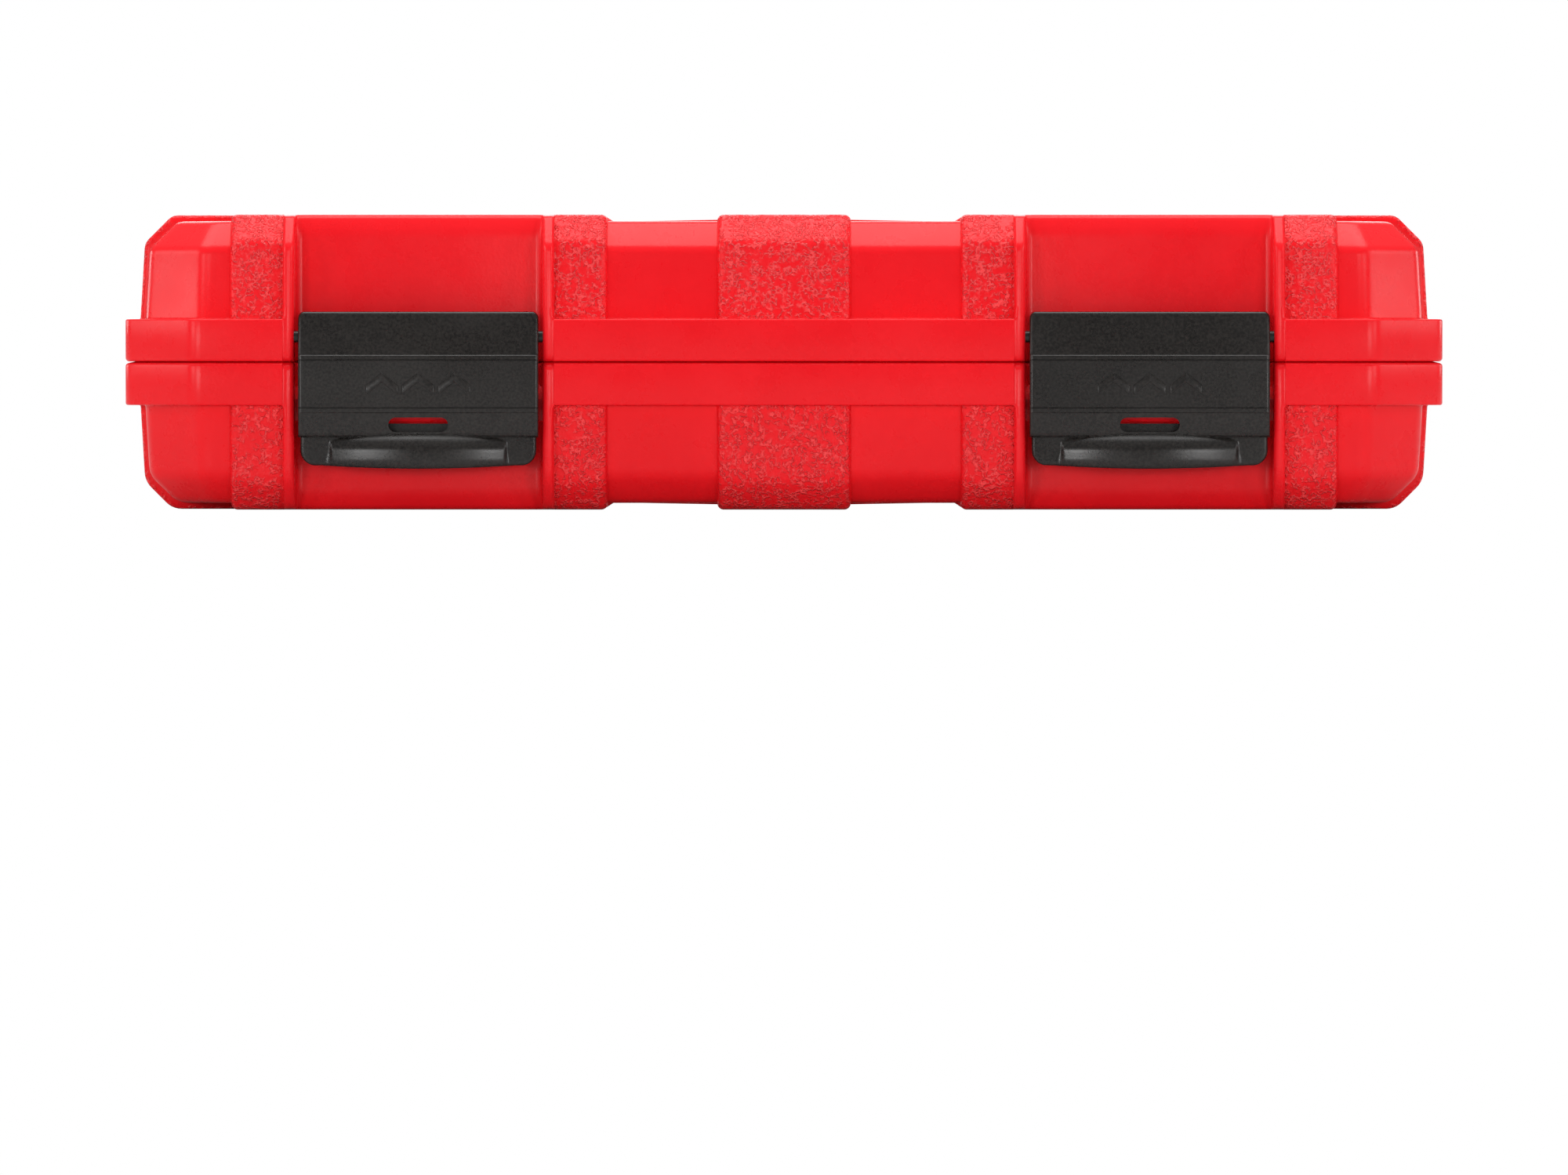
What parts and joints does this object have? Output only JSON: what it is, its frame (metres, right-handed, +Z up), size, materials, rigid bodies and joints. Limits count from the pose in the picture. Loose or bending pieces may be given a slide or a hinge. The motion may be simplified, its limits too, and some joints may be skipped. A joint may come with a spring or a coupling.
{
  "type": "socket wrench set in case",
  "caption": "Moulded two-part carrying case with front latches, rear hinges and feet, holding a ratchet, drive bars, an adapter and sockets in a fitted tray.",
  "frame": {"origin": "under the middle of the whole closed set, on the surface that it rests on", "axes": "+X to the right along the latch side, +Y towards the hinge side, +Z up"},
  "size_m": [0.38, 0.2426, 0.085],
  "materials": {
    "case_plastic": "satin blow-moulded plastic, leather grain on the ribs",
    "latch_plastic": "satin black moulded plastic with a fine grain",
    "steel": "plain steel",
    "chrome": "polished and satin chrome plate",
    "grip_rubber": "black moulded grip",
    "insert_rubber": "black soft rubber"
  },
  "bodies": {
    "base": {"base_shell": "case_plastic", "base_tray": "case_plastic", "hinge_pin_left": "steel", "hinge_pin_right": "steel", "ratchet_body": "chrome", "ratchet_grip": "grip_rubber", "ratchet_end_cap": "chrome", "ratchet_cover": "chrome", "cover_screws": "steel", "button_spring": "steel", "pawl_spring": "steel", "long_bar": "chrome", "short_bar": "chrome", "drive_adapter": "chrome", "socket_10mm": "chrome", "socket_11mm": "chrome", "socket_12mm": "chrome", "socket_13mm": "chrome", "socket_14mm": "chrome", "socket_15mm": "chrome", "socket_16mm": "chrome", "socket_17mm": "chrome", "socket_18mm": "chrome", "socket_19mm": "chrome", "socket_20mm": "chrome", "socket_21mm": "chrome", "socket_22mm": "chrome", "socket_23mm": "chrome", "socket_24mm": "chrome", "socket_27mm": "chrome", "socket_30mm": "chrome", "socket_32mm": "chrome", "spark_plug_socket_16mm": "chrome", "spark_plug_socket_21mm": "chrome", "spark_plug_insert_16mm": "insert_rubber", "spark_plug_insert_21mm": "insert_rubber"},
    "lid": {"lid_shell": "case_plastic", "lid_liner": "case_plastic"},
    "latch_left": {"latch_left": "latch_plastic"},
    "latch_right": {"latch_right": "latch_plastic"},
    "drive": {"drive_gear": "chrome"},
    "release_button": {"release_button": "chrome"},
    "drive_ball": {"drive_ball": "chrome"},
    "selector": {"selector_lever": "chrome"},
    "pawl": {"ratchet_pawl": "steel"},
    "long_bar_ball": {"long_bar_ball": "chrome"},
    "short_bar_ball": {"short_bar_ball": "chrome"},
    "adapter_ball": {"adapter_ball": "chrome"}
  },
  "joints": [
    {"name": "lid_hinge", "type": "hinge", "parent": "base", "child": "lid", "pos_m": [0, 0.1167, 0.0425], "axis": [-1, 0, 0], "range_deg": [0, 180]},
    {"name": "latch_left_pivot", "type": "hinge", "parent": "lid", "child": "latch_left", "pos_m": [-0.105, -0.1146, 0.0498], "axis": [-1, 0, 0], "range_deg": [0, 100]},
    {"name": "latch_right_pivot", "type": "hinge", "parent": "lid", "child": "latch_right", "pos_m": [0.105, -0.1146, 0.0498], "axis": [-1, 0, 0], "range_deg": [0, 100]},
    {"name": "drive_spin", "type": "hinge", "parent": "base", "child": "drive", "pos_m": [-0.143, -0.0355, 0.035], "axis": [0, 0, 1], "continuous": true},
    {"name": "button_press", "type": "slide", "parent": "drive", "child": "release_button", "axis": [0, 0, -1], "range_m": [0, 0.0015], "stiffness_N_per_m": 400, "springref_m": -0.001, "deforming": ["button_spring"]},
    {"name": "drive_ball_retract", "type": "slide", "parent": "drive", "child": "drive_ball", "axis": [0, -1, 0], "range_m": [0, 0.0007]},
    {"name": "selector_turn", "type": "hinge", "parent": "base", "child": "selector", "pos_m": [-0.122, -0.0355, 0.035], "axis": [0, 0, 1], "range_deg": [-60, 0]},
    {"name": "pawl_rock", "type": "hinge", "parent": "base", "child": "pawl", "pos_m": [-0.122, -0.0355, 0.035], "axis": [0, 0, 1], "range_deg": [-12, 0]},
    {"name": "long_bar_ball_press", "type": "slide", "parent": "base", "child": "long_bar_ball", "axis": [0, 0, -1], "range_m": [0, 0.0007], "stiffness_N_per_m": 500, "springref_m": -0.0005},
    {"name": "short_bar_ball_press", "type": "slide", "parent": "base", "child": "short_bar_ball", "axis": [0, 0, -1], "range_m": [0, 0.0007], "stiffness_N_per_m": 500, "springref_m": -0.0005},
    {"name": "adapter_ball_press", "type": "slide", "parent": "base", "child": "adapter_ball", "axis": [0, 0, -1], "range_m": [0, 0.0007], "stiffness_N_per_m": 500, "springref_m": -0.0005}
  ],
  "couplings": [
    {"joint": "drive_ball_retract", "follows": "button_press", "ratio": 0.46666},
    {"joint": "pawl_rock", "follows": "selector_turn", "ratio": 0.2}
  ]
}
